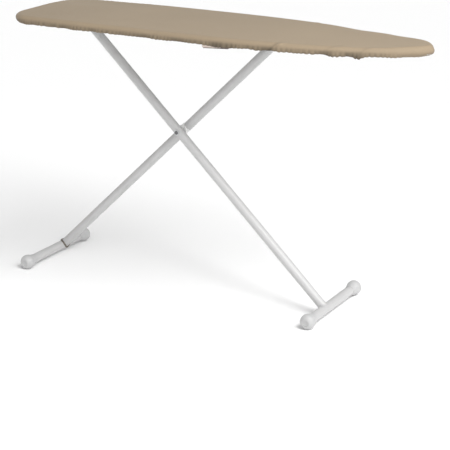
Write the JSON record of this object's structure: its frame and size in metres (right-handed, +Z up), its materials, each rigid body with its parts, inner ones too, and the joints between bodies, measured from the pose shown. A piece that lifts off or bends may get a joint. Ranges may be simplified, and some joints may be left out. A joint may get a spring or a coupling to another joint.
{
  "type": "ironing board",
  "caption": "Full-size folding ironing board: padded, covered top with rounded nose on two crossed single-tube legs with T-shaped feet and a release lever.",
  "frame": {"origin": "on the floor, under the middle of the object's box, as set up for ironing", "axes": "+X from the squared tail to the nose, +Y away from the release lever, +Z up"},
  "size_m": [1.3758, 0.381, 0.86],
  "materials": {
    "cover_cotton": "khaki cotton twill, matt",
    "pad_foam": "cream felted foam, matt",
    "elastic_band": "woven elastic, matt",
    "deck_steel": "white enamel, satin",
    "bracket_steel": "white enamel, satin",
    "lever_steel": "brown enamel, satin",
    "zinc_steel": "zinc plated, satin",
    "spring_wire": "oiled spring steel",
    "leg_enamel": "white enamel, satin gloss",
    "dark_rivet": "blackened steel",
    "cap_plastic": "white moulded plastic, soft gloss",
    "nylon": "natural white nylon",
    "grip_plastic": "pale moulded plastic"
  },
  "bodies": {
    "board": {"cover": "cover_cotton", "foam_pad": "pad_foam", "hem_elastic": "elastic_band", "deck_sheet": "deck_steel", "rim_channel": "deck_steel", "tail_brace": "deck_steel", "hinge_brace": "deck_steel", "middle_brace": "deck_steel", "nose_brace": "deck_steel", "hinge_bracket": "bracket_steel", "hinge_pin": "zinc_steel", "near_rail": "bracket_steel", "far_rail": "bracket_steel", "rail_stops": "zinc_steel", "lock_bracket": "bracket_steel", "lever_pin": "zinc_steel", "lever_spring": "spring_wire", "deck_rivets": "zinc_steel"},
    "hinged_leg": {"hinged_leg_tube": "leg_enamel", "hinged_leg_bush": "zinc_steel", "pivot_rivet": "dark_rivet", "near_washer": "zinc_steel", "far_washer": "zinc_steel", "nose_foot_bar": "leg_enamel", "nose_foot_near_cap": "cap_plastic", "nose_foot_far_cap": "cap_plastic"},
    "sliding_leg": {"sliding_leg_tube": "leg_enamel", "sliding_leg_bush": "zinc_steel", "pivot_spacer": "nylon", "tail_foot_bar": "leg_enamel", "tail_foot_near_cap": "cap_plastic", "tail_foot_far_cap": "cap_plastic"},
    "slider": {"slide_axle": "zinc_steel", "near_shoe": "nylon", "far_shoe": "nylon", "axle_clips": "spring_wire", "rod_eye": "zinc_steel", "lock_rod": "zinc_steel"},
    "release_lever": {"lever_blade": "lever_steel", "lever_grip": "grip_plastic"}
  },
  "joints": [
    {"name": "leg_fold", "type": "hinge", "parent": "board", "child": "hinged_leg", "pos_m": [-0.5061, 0, 0.831], "axis": [0, -1, 0], "range_deg": [0, 40.71]},
    {"name": "scissor_pivot", "type": "hinge", "parent": "hinged_leg", "child": "sliding_leg", "pos_m": [-0.14954, 0, 0.5076], "axis": [0, -1, 0], "range_deg": [-82.43, 0]},
    {"name": "slide_axle_turn", "type": "hinge", "parent": "sliding_leg", "child": "slider", "pos_m": [0.1944, 0, 0.831], "axis": [0, -1, 0], "range_deg": [0, 41.72]},
    {"name": "lever_squeeze", "type": "hinge", "parent": "board", "child": "release_lever", "pos_m": [0.1229, -0.068, 0.831], "axis": [0, 0, -1], "range_deg": [0, 9], "stiffness_Nm_per_rad": 2, "springref_deg": -5.73}
  ],
  "couplings": [
    {"joint": "scissor_pivot", "follows": "leg_fold", "ratio": -2.0245},
    {"joint": "slide_axle_turn", "follows": "leg_fold", "ratio": 1.0245}
  ]
}
